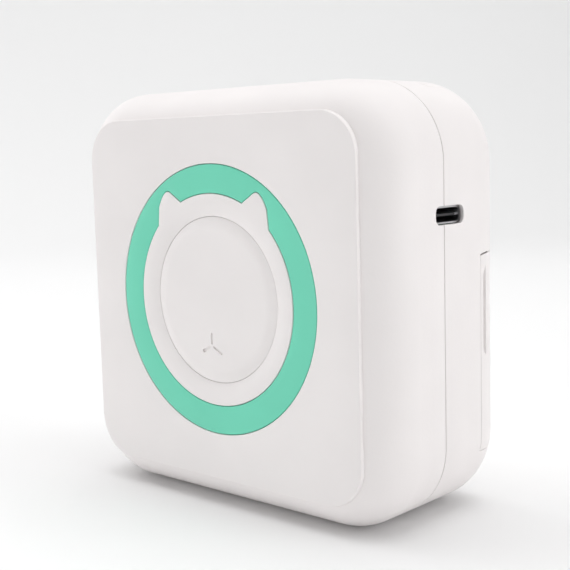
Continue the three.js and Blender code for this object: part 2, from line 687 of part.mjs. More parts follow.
// Electronics
piece("main_board", mainBoard(), "board");
const chip = (x, thickness, z) => new THREE.BoxGeometry(x, thickness, z);
const frontOfBoard = (x, thickness, z) => at(x, BOARD_DEPTH - 0.1 - thickness / 2, z);
piece("microcontroller_chip", chip(7, 1, 7), "darkPlastic", frontOfBoard(-14, 1, 64));
piece("motor_driver_chip", chip(5, 1, 5), "darkPlastic", frontOfBoard(-25.5, 1, 50));
piece("radio_module", chip(12, 1.6, 9), "steel", frontOfBoard(14, 1.6, 69));
piece("battery_connector", chip(6, 2.4, 3), "gearPlastic", frontOfBoard(-16.6, 2.4, 31.6));
piece("status_led", chip(1.6, 0.7, 0.9), "lamp", frontOfBoard(0, 0.7, 63));
piece("head_flex_connector", chip(18, 1.6, 3), "gearPlastic", at(0, 10.2, 68.2));
piece("battery", pouch(50, 4.6, 17.6), "pouch", at(0, 6.1, 14.8));
piece("battery_lead_positive", batteryLead(-19.4), "redWire");
piece("battery_lead_negative", batteryLead(-17), "blackWire");

// Charging port
piece("usb_board", new THREE.BoxGeometry(7.5, 12.6, 0.8), "board", at(36, 18.3, 55.6));
piece("usb_port_shell", usbShell(), "steel");
piece("usb_port_tongue", new THREE.BoxGeometry(5.9, 6.7, 0.7), "darkPlastic", at(37.75, USB.depth, USB.height));
piece("usb_flex_cable", usbFlex(), "flex", new THREE.Vector3(0, 0, 51));

// Paper bay
piece("paper_bucket", paperBucket(), "greyPlastic");
piece("paper_guide", paperGuide(), "greyPlastic");
piece("paper_sensor", new THREE.BoxGeometry(4, 1.8, 3.2), "darkPlastic", at(10, 26.1, 52));
piece("tear_bar", tearBar(), "steel");
const rollCentre = at(0, ROLL.depth, ROLL.height);
piece("paper_roll", tubeAlongX(ROLL.radius, ROLL.bore + 1.3, 2 * ROLL.halfLength, 28), "paper", rollCentre);
piece("roll_core", tubeAlongX(ROLL.bore + 1, ROLL.bore, 2 * ROLL.halfLength, 14), "card", rollCentre);

// Print mechanism
piece("mechanism_chassis", mechanismChassis(), "greyPlastic");
piece("gearbox_plate", gearboxPlate(), "steel");
MECHANISM_SCREWS.forEach(([x, z], i) => {
  piece(`mechanism_screw_${i + 1}`, screw(1.8, 1.1, 0.9, 6.6), "steel", at(x, CROSS_PLATE + 1.4, z));
});
piece("stepper_motor", stepperMotor(), "steel", at(-22.7, PINION.depth, PINION.height));
piece("motor_flex_cable", ribbonAlongX([[10.2, 43], [11.6, 42.9], [13.4, 42.6]], 0.3, -24, -19.6, 6), "flex");
const gearPlace = (axle) => at(GEAR_PLANE_OUTER, axle.depth, axle.height);
piece("motor_pinion", gear(TEETH.pinion, pinionPhase, 0.95, 0), "brass", gearPlace(PINION));
piece("idler_gear", gear(TEETH.idler, idlerPhase, 0.95, 0), "gearPlastic", gearPlace(IDLER));
piece("compound_gear", compoundGear(), "gearPlastic", gearPlace(COMPOUND));
piece("idler_gear_pin", rod("x", 0.8, 5.1, 12), "steel", at(-30.7, IDLER.depth, IDLER.height));
piece("compound_gear_pin", rod("x", 0.8, 5.1, 12), "steel", at(-30.7, COMPOUND.depth, COMPOUND.height));
piece("head_pivot_pin", rod("x", 1, 55.2, 16), "steel", at(0, HEAD.pivotDepth, HEAD.pivotHeight));

// Thermal head, which tilts on its pin
piece("head_plate", headPlate(), "aluminium", headGroup.position.clone(), headGroup);
piece("thermal_strip", new THREE.BoxGeometry(50, 0.75, 6), "ceramic", at(0, 23.02, 73), headGroup);
for (const [name, x] of [["left", -15], ["right", 15]]) {
  piece(`head_spring_${name}`, coilSpring(1.6, 0.25, 9.1, 5), "steel", at(x, CROSS_PLATE + 1.4, 74));
}
const headFlexRoute = [[11.3, 68.2], [13.4, 67.6], [16, 65], [18.6, 66.6], [20.3, 70]];
piece("head_flex_cable", ribbonAlongX(headFlexRoute, 0.3, -8, 8, 16), "flex");

// Platen, which turns in the door's bushings
const platenCentre = platenGroup.position.clone();
piece("platen_rubber", tubeAlongX(PLATEN.radius, 1.8, 2 * PLATEN.halfLength, 24), "rubber", platenCentre, platenGroup);
piece("platen_shaft", rod("x", PLATEN.shaft, 60.2, 16), "steel", at(-0.9, PLATEN.depth, PLATEN.height), platenGroup);
const platenGearPlace = at(GEAR_PLANE_INNER, PLATEN.depth, PLATEN.height);
piece("platen_gear", gear(TEETH.platen, platenPhase, 1.6, 0), "gearPlastic", platenGearPlace, platenGroup);

export default printer;
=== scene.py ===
"""Looks of a pocket thermal label printer round its CAD frame: a square white case with softly
rounded edges, a raised front plate, a round power key in a mint cat-ear ring, and a hinged paper door.

Shapes are built in millimetres: x to the right, depth back from the front plate's face, z up.
"""

import bisect
import json
import math

import bmesh
import bpy
from mathutils import Matrix, Vector

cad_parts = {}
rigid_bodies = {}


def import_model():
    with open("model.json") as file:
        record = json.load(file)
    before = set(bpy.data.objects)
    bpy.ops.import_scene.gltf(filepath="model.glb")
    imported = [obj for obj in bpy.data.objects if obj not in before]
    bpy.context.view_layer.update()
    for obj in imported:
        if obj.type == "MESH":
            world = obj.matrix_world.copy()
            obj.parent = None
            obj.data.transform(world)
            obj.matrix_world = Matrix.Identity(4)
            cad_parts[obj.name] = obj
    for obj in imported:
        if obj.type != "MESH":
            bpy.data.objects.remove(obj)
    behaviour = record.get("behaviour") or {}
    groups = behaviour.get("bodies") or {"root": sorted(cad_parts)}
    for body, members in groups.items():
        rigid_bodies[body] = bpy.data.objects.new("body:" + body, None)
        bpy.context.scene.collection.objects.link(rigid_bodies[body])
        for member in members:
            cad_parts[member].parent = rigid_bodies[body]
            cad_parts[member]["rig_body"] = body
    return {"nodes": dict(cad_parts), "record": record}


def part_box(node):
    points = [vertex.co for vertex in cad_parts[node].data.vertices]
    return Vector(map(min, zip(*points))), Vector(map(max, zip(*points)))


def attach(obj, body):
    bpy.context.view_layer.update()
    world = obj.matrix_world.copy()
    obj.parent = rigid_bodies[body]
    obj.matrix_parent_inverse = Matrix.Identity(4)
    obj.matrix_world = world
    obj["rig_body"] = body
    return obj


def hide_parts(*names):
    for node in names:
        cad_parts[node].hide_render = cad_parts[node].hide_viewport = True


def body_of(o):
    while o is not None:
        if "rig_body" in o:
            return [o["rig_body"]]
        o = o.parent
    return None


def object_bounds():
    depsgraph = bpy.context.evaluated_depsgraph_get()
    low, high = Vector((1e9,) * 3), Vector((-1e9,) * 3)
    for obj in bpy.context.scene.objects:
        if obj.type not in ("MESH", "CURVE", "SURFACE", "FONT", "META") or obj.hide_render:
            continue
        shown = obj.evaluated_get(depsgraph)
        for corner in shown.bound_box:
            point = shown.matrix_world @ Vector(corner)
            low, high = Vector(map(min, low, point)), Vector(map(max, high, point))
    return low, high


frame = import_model()
cad_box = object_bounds()
nodes = frame["nodes"]

MM = 0.001
FRONT = cad_box[0].y


# ---- Places taken from the CAD frame ---------------------------------------------------------------


def box_mm(node):
    """A node's box in millimetres: ((x, depth, z) lowest, (x, depth, z) highest)."""
    low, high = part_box(node)
    return tuple((c.x / MM, (c.y - FRONT) / MM, c.z / MM) for c in (low, high))


def middle(box, axis):
    return (box[0][axis] + box[1][axis]) / 2


def half(box, axis):
    return (box[1][axis] - box[0][axis]) / 2


ring_box = box_mm("ring_insert")
key_box = box_mm("power_key")
usb_box = box_mm("usb_port_shell")
tongue_box = box_mm("usb_port_tongue")
core_box = box_mm("roll_core")
rubber_box = box_mm("platen_rubber")
shaft_box = box_mm("platen_shaft")
pin_box = box_mm("hinge_pin_right")

HALF_WIDTH = cad_box[1].x / MM
HEIGHT = cad_box[1].z / MM
DEPTH = (cad_box[1].y - cad_box[0].y) / MM
SEAM_FRONT = box_mm("front_shell")[1][1]
SEAM_REAR = box_mm("rear_shell")[0][1]
CENTRE = middle(ring_box, 2)
HINGE = (middle(pin_box, 1), middle(pin_box, 2))
PIN_RADIUS = half(pin_box, 2)

CORNER = 15.4
ROUNDING = 9.0
WALL = 2.0
PROUD = 0.4
SEAM_CLOSER = 0.06
RIM_SOFT = 0.12
PLATE = {"half_width": 35.84, "bottom": 5.7, "top": 76.9, "corner": 8.5, "fillet": 0.25}
FACE_SOFT = 0.18
RING_SOFT = 0.2
RING_GAP = 0.12
RING_POCKET = 1.4
RING_OUTER = half(ring_box, 0) + RING_GAP
RING_INNER = 20.68
KEY_HOLE = 16.32
KEY_RADIUS = 16.26
KEY_EDGE = 0.74
FACE_DEPTH = key_box[0][1]
KEY_FLANGE = half(key_box, 0)
KEY_BEND = (13.6, 15.1)
# The mouth's middle from the key's, and its arms: angle, start, end and radius of each groove.
MOUTH = (-0.8, -8.95)
MOUTH_ARMS = (
    (90, 0.5, 2.3, 0.27), (-28, 0.6, 2.95, 0.27), (208, 0.7, 2.5, 0.27), (208, 2.2, 2.6, 0.38),
)

DOOR = {"half_width": 33, "lip": 25.7, "tab_front": 29.2, "tab_bottom": 12, "tab_top": 42.45}
DOOR_GAP = 0.1
SLIT_GAP = 0.36
SLIT_END = 31.9
TAB_HEEL = 5.2
BARREL = 2.2
HINGE_CLEARANCE = 0.3
HINGE_EAR = 27.4
SLOT_FRONT = 23.6
USB_CORNER = 1.25
USB_SHEET = 0.3
SLOT_HALF_WIDTH = 28.6
SCREW_HEAD = 0.9
BORE_CLEARANCE = 0.3
CORE_WALL = 1
ROLL_CLEARANCE = 0.12

# Planes just beyond the case's side, back and top, and the small loop that closes a flat face.
OUTSIDE, BEHIND, ABOVE = 43, 40, 84
FLAT_RADIUS = 4
ROUND_STEPS = 26

# Screw bosses, by radius, bore and depths.
CASE_BOSS = {"outer": 2.6, "bore": 1.2, "start": 3.5, "end": SEAM_FRONT, "bored_from": 10}
MECHANISM_BOSS = {"outer": 2.4, "bore": 1.2, "start": 2.0, "end": 7.7, "bored_from": 4.2}

# The rear shell's inner walls, for the side of positive X.
INSIDE_TAB = {"x": (31.6, 41), "depth": (26.6, 28.4), "z": (9, 51.5)}
BAY_WALL = {"x": (33.8, 35), "depth": (28, 36.4), "z": (51, 77)}

# The scoop's floor as depths and how deep it cuts, and its fade along Z as heights and shares.
SCOOP_FLOOR = (
    (29.05, 0), (29.6, 0.04), (30.1, 0.16), (30.5, 0.34), (30.8, 0.58), (30.92, 0.58), (31.1, 0),
)
SCOOP_FADE = (
    (30.2, 0), (30.6, 0.35), (31.2, 0.8), (32.0, 1), (45.3, 1), (46.2, 0.8), (47.0, 0.42), (47.9, 0),
)
SCREW_PLACES = [(side * 37, z) for z in (17, 44) for side in (-1, 1)]
MECHANISM_PLACES = [(side * 24.5, z) for z in (38.5, 74) for side in (-1, 1)]


# ---- Mesh helpers ----------------------------------------------------------------------------------


def row(x, depth, z):
    """A point in the row frame, in metres."""
    return (x * MM, FRONT + depth * MM, z * MM)


def mesh_object(name, points, faces, sharp=32):
    """A mesh from points in millimetres, smooth but for edges sharper than the given angle."""
    mesh = bpy.data.meshes.new(name)
    mesh.from_pydata([row(*p) for p in points], [], faces)
    mesh.validate()
    shaded(mesh, sharp)
    thing = bpy.data.objects.new(name, mesh)
    bpy.context.scene.collection.objects.link(thing)
    return thing


def shaded(mesh, sharp=32):
    work = bmesh.new()
    work.from_mesh(mesh)
    bmesh.ops.recalc_face_normals(work, faces=work.faces)
    work.to_mesh(mesh)
    work.free()
    mesh.shade_smooth()
    mesh.set_sharp_from_angle(angle=math.radians(sharp))


def loft(name, loops, capped, sharp=32):
    """Quads between loops of one length. Capped ends close in a middle point, and open ones meet."""
    count = len(loops[0])
    points = [p for loop in loops for p in loop]
    faces = []
    pairs = len(loops) - 1 if capped else len(loops)
    for k in range(pairs):
        a, b = k * count, ((k + 1) % len(loops)) * count
        for i in range(count):
            j = (i + 1) % count
            faces.append((a + i, a + j, b + j, b + i))
    if capped:
        for loop_start, loop in ((0, loops[0]), (pairs * count, loops[-1])):
            centre = [sum(p[axis] for p in loop) / count for axis in range(3)]
            points.append(centre)
            last = len(points) - 1
            faces += [(loop_start + i, loop_start + (i + 1) % count, last) for i in range(count)]
    return mesh_object(name, points, faces, sharp)


def along(axis, place, across, up, reach):
    """A point given by its place in the plane across an axis, and its reach along it."""
    x, depth, z = place
    if axis == "x":
        return (x + reach, depth + across, z + up)
    if axis == "y":
        return (x + across, depth + reach, z + up)
    return (x + across, depth + up, z + reach)


def turned(name, axis, place, profile, sides=96, sharp=32):
    """A solid of revolution. The profile runs from axis to axis, or round a bore, as (radius, reach)."""
    hollow = all(radius > 0 for radius, _ in profile)
    rims = [(radius, reach) for radius, reach in profile if radius > 0]
    loops = []
    for radius, reach in rims:
        loop = []
        for i in range(sides):
            angle = 2 * math.pi * i / sides
            loop.append(along(axis, place, radius * math.cos(angle), radius * math.sin(angle), reach))
        loops.append(loop)
    return loft(name, loops, not hollow, sharp)


def rod(name, axis, place, radius, length, sides=64, soft=0.0):
    """A round bar about its middle, its rims rounded off by a small radius."""
    reach = length / 2
    if soft:
        edge = [
            (radius - soft + soft * math.sin(math.pi * k / 8), soft - soft * math.cos(math.pi * k / 8))
            for k in range(5)
        ]
        profile = [(r, e - reach) for r, e in edge] + [(r, reach - e) for r, e in reversed(edge)]
    else:
        profile = [(radius, -reach), (radius, reach)]
    return turned(name, axis, place, [(0, -reach)] + profile + [(0, reach)], sides)


def tube(name, axis, place, outer, inner, length, sides=96, soft=0.12):
    """A tube about its middle with softened rims."""
    reach = length / 2
    profile = [
        (inner, soft - reach), (inner + soft, -reach), (outer - soft, -reach), (outer, soft - reach),
        (outer, reach - soft), (outer - soft, reach), (inner + soft, reach), (inner, reach - soft),
    ]
    return turned(name, axis, place, profile, sides)


def block(name, x, depth, z):
    """A box from its ranges."""
    points = [(a, b, c) for a in x for b in depth for c in z]
    faces = [(0, 1, 3, 2), (4, 6, 7, 5), (0, 4, 5, 1), (2, 3, 7, 6), (0, 2, 6, 4), (1, 5, 7, 3)]
    return mesh_object(name, points, faces)


def prism(name, outline, x0, x1, sharp=32):
    """An outline of depths and heights carried along X."""
    loops = [[(x, depth, z) for depth, z in outline] for x in (x0, x1)]
    count = len(outline)
    points = loops[0] + loops[1]
    faces = [(i, (i + 1) % count, count + (i + 1) % count, count + i) for i in range(count)]
    faces += [tuple(range(count)), tuple(range(2 * count - 1, count - 1, -1))]
    return mesh_object(name, points, faces, sharp)


def quarter(steps):
    """The angles of a quarter turn in equal steps."""
    return [math.pi / 2 * k / steps for k in range(steps + 1)]


def arc(centre, radius, start, end, steps):
    """Points on an arc, with its angles in degrees."""
    spots = []
    for k in range(steps + 1):
        angle = math.radians(start + (end - start) * k / steps)
        spots.append((centre[0] + radius * math.cos(angle), centre[1] + radius * math.sin(angle)))
    return spots


def rounded_slot(depth, height, half_length, half_height, corner, steps=10):
    """A rounded rectangle in the plane of depth and height."""
    across, up = half_length - corner, half_height - corner
    outline = []
    for k, (side, rise) in enumerate(((1, 1), (-1, 1), (-1, -1), (1, -1))):
        centre = (depth + side * across, height + rise * up)
        outline += arc(centre, corner, 90 * k, 90 * k + 90, steps)
    return outline


def carve(thing, operation, *tools, sharp=32):
    """Joins, keeps or cuts with each tool in turn, and removes the tools."""
    for tool in tools:
        modifier = thing.modifiers.new("carve", "BOOLEAN")
        modifier.operation = operation
        modifier.solver = "MANIFOLD"
        modifier.object = tool
    bpy.context.view_layer.update()
    evaluated = thing.evaluated_get(bpy.context.evaluated_depsgraph_get())
    result = bpy.data.meshes.new_from_object(evaluated)
    thing.modifiers.clear()
    thing.data = result
    result.shade_smooth()
    result.set_sharp_from_angle(angle=math.radians(sharp))
    for tool in tools:
        bpy.data.objects.remove(tool)
    return thing


def joined(thing, *others):
    """Adds the meshes of others, whole, to one piece."""
    work = bmesh.new()
    work.from_mesh(thing.data)
    for other in others:
        work.from_mesh(other.data)
        bpy.data.objects.remove(other)
    work.to_mesh(thing.data)
    work.free()
    thing.data.set_sharp_from_angle(angle=math.radians(32))
    return thing


def mirrored(maker):
    """Both sides of a maker that takes a side of -1 or 1."""
    return [maker(-1), maker(1)]


# ---- Outlines seen from the front, as reaches from the ring's centre --------------------------------


def angles():
    """Degrees round the centre, closer together at the ring's two ears."""
    ticks = []
    degrees = 0.0
    while degrees < 359.99:
        ticks.append(degrees)
        folded = degrees if degrees <= 90 else 180 - degrees
        degrees += 0.25 if 41.9 < folded < 70 else 0.75
    return ticks


TICKS = angles()
DIRECTIONS = [(math.cos(math.radians(t)), math.sin(math.radians(t))) for t in TICKS]


def rounded_reach(direction, half_width, bottom, top, corner):
    """How far the centre is from a rounded rectangle's outline along a direction."""
    c, s = direction
    side = half_width / abs(c) if abs(c) > 1e-9 else 1e9
    rise = (top - CENTRE) if s > 0 else (CENTRE - bottom)
    end = rise / abs(s) if abs(s) > 1e-9 else 1e9
    reach = min(side, end)
    corner_x = half_width - corner
    corner_z = (top - CENTRE - corner) if s > 0 else (bottom - CENTRE + corner)
    beside = abs(c) * reach > corner_x
    beyond = s * reach > corner_z if s > 0 else s * reach < corner_z
    if not (beside and beyond):
        return reach
    middle_x = math.copysign(corner_x, c)
    dot = c * middle_x + s * corner_z
    return dot + math.sqrt(max(0, dot * dot - middle_x**2 - corner_z**2 + corner * corner))


def case_reach(direction, inset):
    return rounded_reach(direction, HALF_WIDTH - inset, inset, HEIGHT - inset, CORNER - inset)


def plate_reach(direction, inset):
    p = PLATE
    return rounded_reach(
        direction, p["half_width"] - inset, p["bottom"] + inset, p["top"] - inset, p["corner"] - inset
    )


def polar(radius, degrees):
    return Vector((radius * math.cos(math.radians(degrees)), radius * math.sin(math.radians(degrees))))


def bezier(a, b, c, steps=24):
    return [a.lerp(b, k / steps).lerp(b.lerp(c, k / steps), k / steps) for k in range(steps + 1)]


EAR = {"base": 43, "shoulder": (23.18, 50.4), "peak": (25.48, 59.2), "inner": (23.58, 61.3), "dip": 66}


def cat_reaches(grow):
    """Reach of the ring's inner outline at each tick: a circle with an ear on each side, moved out."""
    e = EAR
    shoulder, peak, inner = (polar(*e[key]) for key in ("shoulder", "peak", "inner"))
    line = [polar(RING_INNER, t) for t in range(-90, e["base"] + 1)]
    line += [line[-1].lerp(shoulder, k / 12) for k in range(1, 12)]
    line += bezier(shoulder, peak, inner)
    line += [inner.lerp(polar(RING_INNER, e["dip"]), k / 12) for k in range(1, 13)]
    line += [polar(RING_INNER, t) for t in range(e["dip"] + 1, 91)]
    moved = []
    for k, point in enumerate(line):
        ahead = line[min(k + 1, len(line) - 1)] - line[max(k - 1, 0)]
        normal = Vector((ahead.y, -ahead.x)).normalized()
        spot = point + normal * grow
        moved.append((math.degrees(math.atan2(spot.y, spot.x)), spot.length))
    moved.sort()
    keys = [angle for angle, _ in moved]
    reaches = []
    for tick in TICKS:
        folded = tick if tick <= 90 else 180 - tick if tick <= 270 else tick - 360
        k = min(max(bisect.bisect(keys, folded), 1), len(keys) - 1)
        (a0, r0), (a1, r1) = moved[k - 1], moved[k]
        share = (folded - a0) / (a1 - a0) if a1 > a0 else 0
        reaches.append(r0 + (r1 - r0) * min(max(share, 0), 1))
    return reaches


def face_loop(reaches, depth):
    """A loop of points from reaches at every tick, at one depth or a depth for each."""
    depths = depth if isinstance(depth, list) else [depth] * len(reaches)
    return [
        (c * reach, d, CENTRE + s * reach) for (c, s), reach, d in zip(DIRECTIONS, reaches, depths)
    ]


def circle_loop(radius, depth):
    return face_loop([radius] * len(TICKS), depth)


def rounded_depth(inset, start, radius, first):
    """Depth of a quarter-round edge that begins at an inset from the outline."""
    run = min(first - inset, radius)
    return start + radius - math.sqrt(max(0.0, radius * radius - run * run))


# ---- The case's shells -----------------------------------------------------------------------------


def plate_foot(direction):
    """Inset of the place where the plate's wall meets the rounded shoulder."""
    target = plate_reach(direction, 0)
    low, high = 0.0, ROUNDING
    for _ in range(30):
        trial = (low + high) / 2
        if case_reach(direction, trial) > target:
            low = trial
        else:
            high = trial
    return (low + high) / 2


def island_depth(radius):
    """The island dips softly towards the power key."""
    start, drop = 19.4, KEY_EDGE - 0.02
    share = min(max((start - radius) / (start - KEY_HOLE), 0), 1)
    return drop * share**1.7


def front_face_loops():
    """From the key's hole out over the island, the ring's pocket and the plate to the plate's foot."""
    loops = [circle_loop(KEY_HOLE, PROUD + WALL)]
    island = (KEY_HOLE, 16.6, 17, 17.4, 17.8, 18.2, 18.8, 19.4)
    loops += [circle_loop(r, island_depth(r)) for r in island]
    soft = FACE_SOFT
    for turn in quarter(4):
        loops.append(face_loop(cat_reaches(-soft + soft * math.sin(turn)), soft - soft * math.cos(turn)))
    loops.append(face_loop(cat_reaches(0), RING_POCKET))
    loops.append(circle_loop(RING_OUTER, RING_POCKET))
    for turn in quarter(4):
        radius = RING_OUTER + soft - soft * math.cos(turn)
        loops.append(circle_loop(radius, soft - soft * math.sin(turn)))
    soft = PLATE["fillet"]
    for turn in quarter(4):
        reaches = [plate_reach(d, soft - soft * math.sin(turn)) for d in DIRECTIONS]
        loops.append(face_loop(reaches, soft - soft * math.cos(turn)))
    return loops


def front_shell():
    """The front shell: face, shoulder, side, rim and cavity in one loft, and the screw bosses."""
    loops = front_face_loops()
    feet = [plate_foot(d) for d in DIRECTIONS]
    for turn in quarter(ROUND_STEPS):
        share = 1 - math.sin(turn)
        insets = [foot * share for foot in feet]
        reaches = [case_reach(d, inset) for d, inset in zip(DIRECTIONS, insets)]
        depths = [rounded_depth(inset, PROUD, ROUNDING, ROUNDING) for inset in insets]
        loops.append(face_loop(reaches, depths))
    loops.append(case_loop(0, (PROUD + ROUNDING + SEAM_FRONT) / 2))
    loops += rim_loops(SEAM_FRONT + SEAM_CLOSER, -1)
    loops += cavity_loops(PROUD, 1)
    loops.append(circle_loop(KEY_HOLE + 1, PROUD + WALL))
    shell = loft("front_shell_form", loops, capped=False)
    carve(shell, "DIFFERENCE", *usb_cutters("front"))
    bosses = [hollow_boss(x, z, CASE_BOSS) for x, z in SCREW_PLACES]
    bosses += [hollow_boss(x, z, MECHANISM_BOSS) for x, z in MECHANISM_PLACES]
    return joined(shell, *bosses)


def case_loop(inset, depth):
    """The case's outline, moved in by an inset."""
    return face_loop([case_reach(d, inset) for d in DIRECTIONS], depth)


def rim_loops(depth, side):
    """A shell's rim at the seam, its outer edge softened, from the outside in."""
    soft = RIM_SOFT
    loops = []
    for turn in quarter(3):
        inset = soft - soft * math.cos(turn)
        loops.append(case_loop(inset, depth + side * (soft - soft * math.sin(turn))))
    loops.append(case_loop(WALL, depth))
    return loops


def cavity_loops(start, side):
    """The cavity's side and quarter-round, from the seam towards the flat wall."""
    radius = ROUNDING - WALL
    loops = []
    for turn in quarter(8):
        run = math.sin(turn)
        inset = WALL + radius * (1 - math.sqrt(max(0, 1 - run * run)))
        depth = start + side * (WALL + radius * (1 - run))
        loops.append(case_loop(min(inset, ROUNDING), depth))
    return loops


def hollow_boss(x, z, sizes):
    """A screw boss standing on the front wall, open at its back end."""
    outer, bore, start = sizes["outer"], sizes["bore"], sizes["start"]
    height, floor = sizes["end"] - start, sizes["bored_from"] - start
    profile = [(0, 0), (outer, 0), (outer, height), (bore, height), (bore, floor), (0, floor)]
    return turned("boss", "y", (x, start, z), profile, 48)


def usb_cutters(tag):
    """The charging port's way through the side wall: a lip outside and a wider pocket inside."""
    depth, height = middle(usb_box, 1), middle(usb_box, 2)
    length, rise = half(usb_box, 1) - 0.07, half(usb_box, 2) + 0.12
    face = usb_box[1][0]
    way = rounded_slot(depth, height, length, rise, USB_CORNER)
    pocket = rounded_slot(depth, height, length + 0.4, rise + 0.3, USB_CORNER + 0.2)
    return [
        prism("port_way_" + tag, way, face - 3.1, HALF_WIDTH + 2),
        prism("port_pocket_" + tag, pocket, 38, face + 0.3),
    ]


def rear_form():
    """Both the rear shell and the door are parts of this bowl."""
    loops = [circle_loop(FLAT_RADIUS, DEPTH - WALL)]
    loops += reversed(cavity_loops(DEPTH, -1))
    loops += reversed(rim_loops(SEAM_REAR - SEAM_CLOSER, 1))
    loops.append(case_loop(0, (SEAM_REAR + DEPTH - ROUNDING) / 2))
    for turn in quarter(ROUND_STEPS):
        inset = ROUNDING * (1 - math.cos(turn))
        loops.append(case_loop(inset, DEPTH - ROUNDING + ROUNDING * math.sin(turn)))
    loops.append(circle_loop(FLAT_RADIUS, DEPTH))
    return loft("rear_form", loops, capped=True)


def case_solid():
    """The case's whole outer form, to keep inner parts inside it."""
    loops = [circle_loop(FLAT_RADIUS, PROUD)]
    for turn in quarter(16):
        loops.append(case_loop(ROUNDING * (1 - math.sin(turn)), PROUD + ROUNDING * (1 - math.cos(turn))))
    for turn in quarter(16):
        loops.append(case_loop(ROUNDING * (1 - math.cos(turn)), DEPTH - ROUNDING * (1 - math.sin(turn))))
    loops.append(circle_loop(FLAT_RADIUS, DEPTH))
    return loft("case_solid", loops, capped=True)


def hinge_rod(name, radius, x0, x1, sides=64):
    """A round bar about the door's hinge axis, between two X values."""
    return rod(name, "x", ((x0 + x1) / 2, *HINGE), radius, x1 - x0, sides)


def hinge_disc(name, radius, sides):
    """A disc about the hinge axis that reaches past both sides of the case."""
    return hinge_rod(name, radius, -OUTSIDE - 1, OUTSIDE + 1, sides)


def side_block(name, side, x, depth, z):
    """A box on one side of the case, from its X range on the side of positive X."""
    return block(name, sorted((side * x[0], side * x[1])), depth, z)


def tab_space(side, gap):
    """The space beside the door's upper part, where its tab wraps round the case."""
    space = side_block(
        "tab", side, (DOOR["half_width"] - 1, OUTSIDE),
        (DOOR["tab_front"] - gap, BEHIND), (DOOR["tab_bottom"] - gap, 60),
    )
    carve(space, "INTERSECT", hinge_disc("tab_disc", DOOR["tab_top"] + gap, 400))
    return carve(space, "DIFFERENCE", hinge_disc("tab_heel", TAB_HEEL - gap, 96))


def tab_slit(side):
    """The wider, short slit over the front of the tab's top edge."""
    slit = side_block(
        "slit", side, (DOOR["half_width"] + 3, OUTSIDE),
        (DOOR["tab_front"] - DOOR_GAP, SLIT_END), (40, 60),
    )
    return carve(slit, "INTERSECT", hinge_disc("slit_disc", DOOR["tab_top"] + SLIT_GAP, 400))


def inner_walls(side):
    """The rear shell's walls behind the tab and beside the bay, and the door's hinge ear on its foot."""
    ear_x = (side * HINGE_EAR - 1, side * HINGE_EAR + 1)
    return [
        side_block("inside_tab", side, **INSIDE_TAB),
        side_block("bay_wall", side, **BAY_WALL),
        hinge_rod("ear", BARREL, *ear_x),
        block("ear_foot", ear_x, (34.2, 36), (3, HINGE[1])),
    ]


def swing_room(side):
    """Room for the door's barrel beside the hinge ear."""
    height = HINGE[1]
    return side_block("swing", side, (HINGE_EAR + 1.1, 33.4), (34, BEHIND), (height - 0.1, height + 3))


def rear_shell():
    """The rear shell: the bowl less the door, the paper slot and the hinge, with its inner walls."""
    opening = DOOR["half_width"] + DOOR_GAP
    shell = carve(
        rear_form(),
        "DIFFERENCE",
        block("bay", (-opening, opening), (DOOR["lip"] - DOOR_GAP, BEHIND), (HINGE[1], ABOVE)),
        block("slot", (-SLOT_HALF_WIDTH, SLOT_HALF_WIDTH), (SLOT_FRONT, 27), (79, ABOVE)),
        block("heel", (-opening, opening), (HINGE[0], BEHIND), (HINGE[1] - 2.7, HINGE[1] + 0.1)),
        hinge_rod("trough", BARREL + HINGE_CLEARANCE, -opening, opening),
        *mirrored(lambda side: tab_space(side, DOOR_GAP)),
        *mirrored(tab_slit),
    )
    shell.name = "rear_shell_form"
    bosses = [rod("boss", "y", (x, SEAM_REAR + 5.5, z), 2.8, 11, 48) for x, z in SCREW_PLACES]
    carve(shell, "UNION", *inner_walls(-1), *inner_walls(1), *bosses)
    carve(shell, "INTERSECT", case_solid())
    wells = [rod("well", "y", (x, 23, z), 1.3, 14, 32) for x, z in SCREW_PLACES]
    wells += [rod("head_well", "y", (x, 28, z), 2.3, 3, 48) for x, z in SCREW_PLACES]
    wells += mirrored(swing_room)
    wells.append(hinge_rod("pin_way", PIN_RADIUS + 0.15, -29, 29, 32))
    return carve(shell, "DIFFERENCE", *wells, *usb_cutters("rear"))


def finger_scoop(side):
    """A wedge-shaped hollow behind the front edge of the door's tab, running out at both ends."""
    clear, beyond = 0.02, 0.6
    first, last = SCOOP_FLOOR[0][0], SCOOP_FLOOR[-1][0]
    loops = []
    for z, share in SCOOP_FADE:
        loop = [(side * (HALF_WIDTH + clear - deep * share), depth, z) for depth, deep in SCOOP_FLOOR]
        loop += [(side * (HALF_WIDTH + beyond), depth, z) for depth in (last, first)]
        loops.append(loop)
    return loft("scoop", loops, capped=True, sharp=60)


